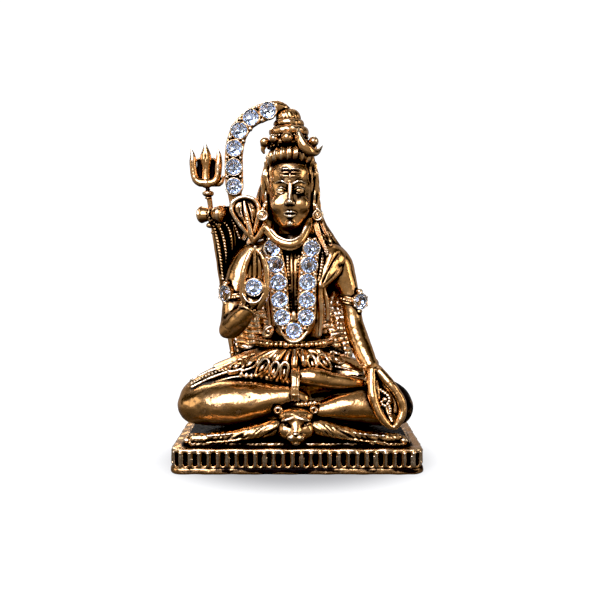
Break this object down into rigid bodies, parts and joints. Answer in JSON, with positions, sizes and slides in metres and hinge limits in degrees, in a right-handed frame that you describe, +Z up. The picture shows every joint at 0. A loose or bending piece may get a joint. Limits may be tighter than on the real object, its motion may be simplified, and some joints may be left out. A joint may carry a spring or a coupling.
{
  "type": "seated deity statuette",
  "caption": "Small cast brass statuette of a seated deity with trident and drum, on a fluted rectangular plinth, set with round crystal stones.",
  "frame": {"origin": "centre of the plinth's rectangular footprint, on the surface the statuette stands on", "axes": "+Z up, the figure faces -Y, +X is the figure's own left"},
  "size_m": [0.048, 0.022, 0.0711],
  "materials": {
    "antique_gold": "polished antique gold over cast metal, with black patina left in the recesses",
    "crystal": "clear faceted foil-backed crystal"
  },
  "bodies": {
    "root": {"plinth": "antique_gold", "tiger_rug": "antique_gold", "tiger_head": "antique_gold", "lower_body": "antique_gold", "torso": "antique_gold", "right_arm": "antique_gold", "left_arm": "antique_gold", "head": "antique_gold", "topknot": "antique_gold", "topknot_beads": "antique_gold", "crescent_moon": "antique_gold", "back_hair": "antique_gold", "shoulder_locks": "antique_gold", "skirt": "antique_gold", "sash": "antique_gold", "waist_belt": "antique_gold", "bead_necklaces": "antique_gold", "cobra": "antique_gold", "garland": "antique_gold", "river_stream": "antique_gold", "right_earring": "antique_gold", "left_earring": "antique_gold", "trident_staff": "antique_gold", "trident_head": "antique_gold", "drum_body": "antique_gold", "drum_skins": "antique_gold", "drum_cord": "antique_gold", "right_armband": "antique_gold", "left_armband": "antique_gold", "right_bracelet": "antique_gold", "left_bracelet": "antique_gold", "rosary": "antique_gold", "stream_stones": "crystal", "garland_stones": "crystal", "palm_stone": "crystal", "right_armband_stone": "crystal", "left_armband_stone": "crystal"}
  },
  "joints": []
}
